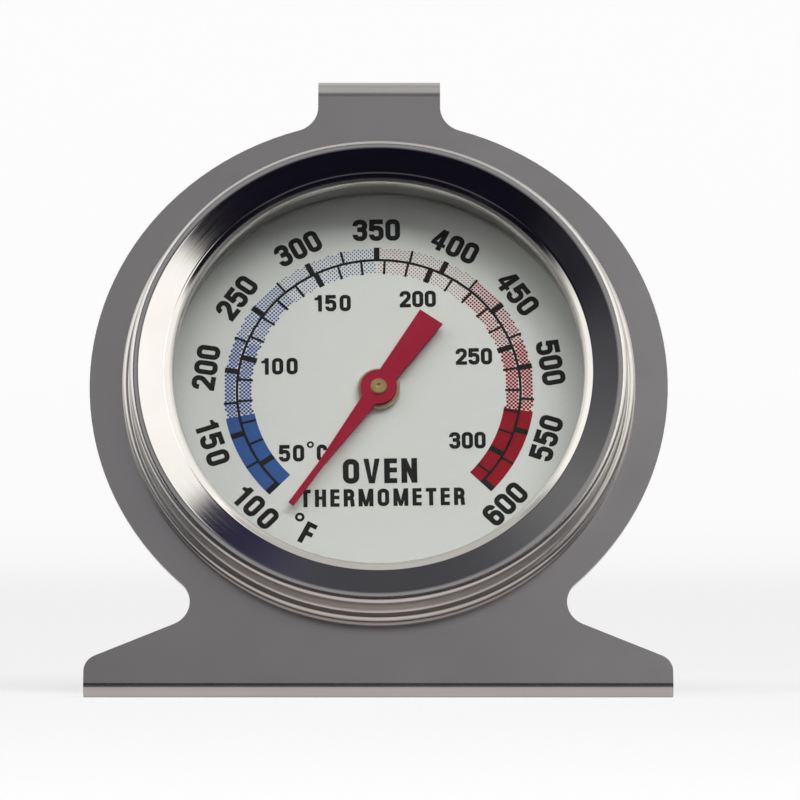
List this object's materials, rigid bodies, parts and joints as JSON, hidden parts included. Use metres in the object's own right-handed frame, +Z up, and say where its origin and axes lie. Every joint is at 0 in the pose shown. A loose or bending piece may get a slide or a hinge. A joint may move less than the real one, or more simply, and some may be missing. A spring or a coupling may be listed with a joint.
{
  "type": "oven thermometer",
  "caption": "Dial oven thermometer on a folded steel stand with a foot and a hanging hook; a bimetal coil turns the red pointer over a round printed dial.",
  "frame": {"origin": "centre of the foot's flat underside", "axes": "+Z up, the dial faces -Y and leans back 21 degrees, +X to the right as seen from the front"},
  "size_m": [0.06, 0.0334, 0.0644],
  "materials": {
    "stand_steel": "satin brushed stainless sheet",
    "case_steel": "plain drawn steel",
    "polished_steel": "polished stainless",
    "spring_steel": "plain spring steel",
    "window_glass": "clear",
    "gasket": "matt heat-proof sealing sheet",
    "spacer_aluminium": "satin",
    "dial_aluminium": "satin off-white with printed scales",
    "rivet_steel": "plain",
    "brass": "turned",
    "bimetal": "rolled strip",
    "red_paint": "satin red paint"
  },
  "bodies": {
    "case": {"stand_plate": "stand_steel", "case_cup": "case_steel", "bezel_ring": "polished_steel", "locking_ring": "spring_steel", "lens_glass": "window_glass", "lens_gasket": "gasket", "spacer_ring": "spacer_aluminium", "dial_plate": "dial_aluminium", "movement_bridge": "case_steel", "bridge_rivets": "rivet_steel", "front_bush": "brass", "rear_bush": "brass", "coil_anchor": "brass", "bimetal_coil": "bimetal"},
    "pointer": {"pointer": "red_paint", "pointer_hub": "brass", "pointer_shaft": "brass", "thrust_washer": "brass", "coil_collet": "brass", "shaft_clip": "spring_steel"}
  },
  "joints": [
    {"name": "pointer_turn", "type": "hinge", "parent": "case", "child": "pointer", "pos_m": [0, -0.00322, 0.03226], "axis": [0, 0.9336, -0.3584], "range_deg": [-26, 281], "stiffness_Nm_per_rad": 0.0002, "deforming": ["bimetal_coil"]}
  ]
}
